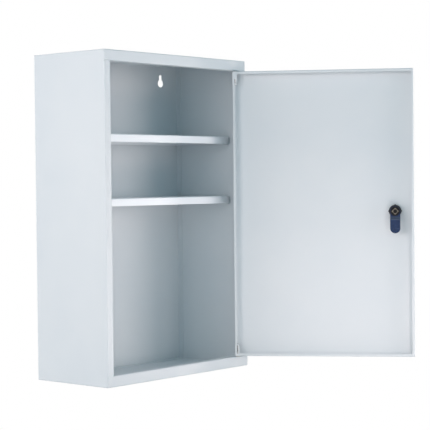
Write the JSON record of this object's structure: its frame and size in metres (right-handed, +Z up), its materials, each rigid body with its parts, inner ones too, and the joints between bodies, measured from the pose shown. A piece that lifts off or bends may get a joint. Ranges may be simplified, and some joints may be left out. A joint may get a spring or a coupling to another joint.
{
  "type": "lockable medicine cabinet",
  "caption": "Lockable wall-hung medicine cabinet of folded steel sheet with a pin-hinged door, loose shelves and a cam lock with key.",
  "frame": {"origin": "middle of the underside of the case", "axes": "+Z up, the open front faces -Y and the wall face +Y, the hinges are on the +X side"},
  "size_m": [0.436, 0.3636, 0.46],
  "materials": {
    "coated_sheet": "smooth light grey powder coat on folded steel sheet",
    "zinc_plated_steel": "bright zinc plate",
    "spring_steel": "drawn wire",
    "nylon": "moulded",
    "chromed_zinc": "chromed die casting",
    "black_zinc": "black zinc plate, half gloss",
    "blue_coated_steel": "glossy dark blue coat on pressed steel",
    "brass": "stamped",
    "nickel_plated_key": "nickel plate"
  },
  "bodies": {
    "case": {"left_side_panel": "coated_sheet", "right_side_panel": "coated_sheet", "top_panel": "coated_sheet", "bottom_panel": "coated_sheet", "back_panel": "coated_sheet", "upper_left_shelf_ledge": "coated_sheet", "upper_right_shelf_ledge": "coated_sheet", "lower_left_shelf_ledge": "coated_sheet", "lower_right_shelf_ledge": "coated_sheet", "lower_hinge_washer": "nylon"},
    "upper_shelf": {"upper_shelf": "coated_sheet"},
    "lower_shelf": {"lower_shelf": "coated_sheet"},
    "door": {"door_panel": "coated_sheet", "lock_stiffening_plate": "coated_sheet", "upper_hinge_bracket": "coated_sheet", "lower_hinge_bracket": "coated_sheet", "upper_hinge_pin": "zinc_plated_steel", "lower_hinge_spring": "spring_steel", "lock_housing": "chromed_zinc", "lock_nut": "black_zinc"},
    "lower_pin": {"lower_hinge_pin": "zinc_plated_steel"},
    "lock_core": {"lock_plug": "chromed_zinc", "lock_stop_washer": "black_zinc", "lock_cam": "blue_coated_steel", "cam_disc_washer": "black_zinc", "cam_cap_washer": "zinc_plated_steel", "cam_screw": "black_zinc"},
    "wafers": {"lock_wafers": "brass"},
    "key": {"key": "nickel_plated_key"}
  },
  "joints": [
    {"name": "door_swing", "type": "hinge", "parent": "case", "child": "door", "pos_m": [0.13, -0.0666, 0.23], "axis": [0, 0, -1], "range_deg": [-6.6, 123.4]},
    {"name": "lower_pin_retract", "type": "slide", "parent": "door", "child": "lower_pin", "axis": [0, 0, 1], "range_m": [0, 0.0065], "stiffness_N_per_m": 300, "springref_m": -0.005, "deforming": ["lower_hinge_spring"]},
    {"name": "lock_turn", "type": "hinge", "parent": "door", "child": "lock_core", "pos_m": [0.26052, -0.26454, 0.2325], "axis": [-0.8348, -0.5505, 0], "range_deg": [0, 90]},
    {"name": "key_withdraw", "type": "slide", "parent": "lock_core", "child": "key", "axis": [0.8348, 0.5505, 0], "range_m": [0, 0.016]},
    {"name": "wafer_slide", "type": "slide", "parent": "lock_core", "child": "wafers", "axis": [0, 0, 1], "range_m": [0, 0.0006]},
    {"name": "upper_shelf_lift", "type": "slide", "parent": "case", "child": "upper_shelf", "axis": [0, 0, 1], "range_m": [0, 0.025]},
    {"name": "lower_shelf_lift", "type": "slide", "parent": "case", "child": "lower_shelf", "axis": [0, 0, 1], "range_m": [0, 0.025]}
  ],
  "couplings": [
    {"joint": "wafer_slide", "follows": "key_withdraw", "ratio": 0.0375}
  ]
}
